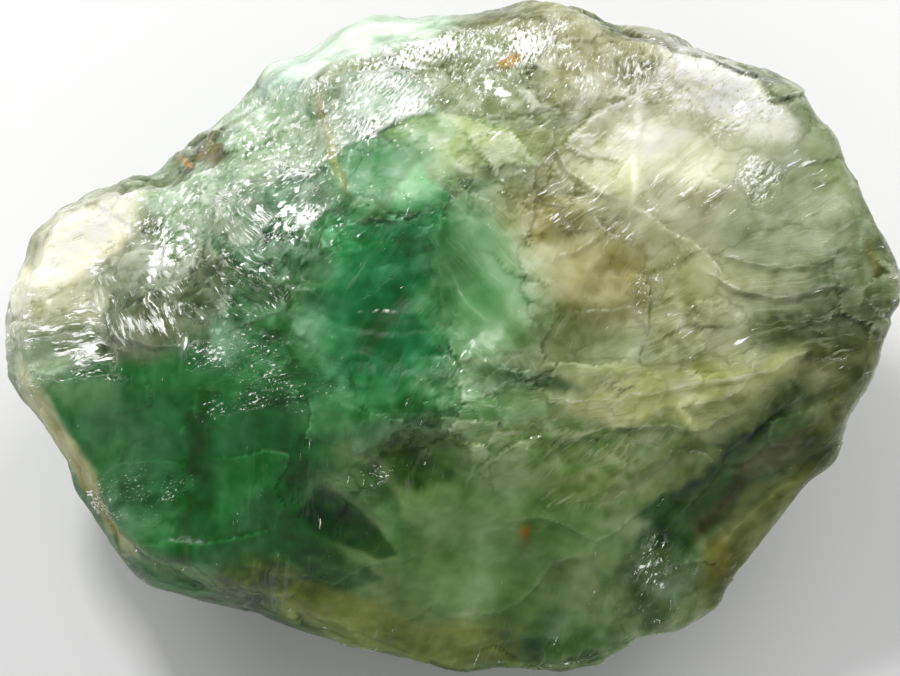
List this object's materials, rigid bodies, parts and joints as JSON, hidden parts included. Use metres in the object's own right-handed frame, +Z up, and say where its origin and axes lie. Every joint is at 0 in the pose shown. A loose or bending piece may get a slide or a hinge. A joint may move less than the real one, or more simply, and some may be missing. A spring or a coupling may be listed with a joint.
{
  "type": "raw aventurine stone",
  "caption": "Rough broken lump of translucent green aventurine, with glassy scars and ledges and a flat broken face to rest on.",
  "frame": {"origin": "on the ground plane, under the middle of the lump's bounding box", "axes": "+X along the lump's longest side, +Y towards its raised side, +Z up out of the face that it rests on"},
  "size_m": [0.05, 0.0354, 0.024],
  "materials": {
    "aventurine": "glassy broken translucent stone"
  },
  "bodies": {
    "root": {"aventurine_lump": "aventurine"}
  },
  "joints": []
}
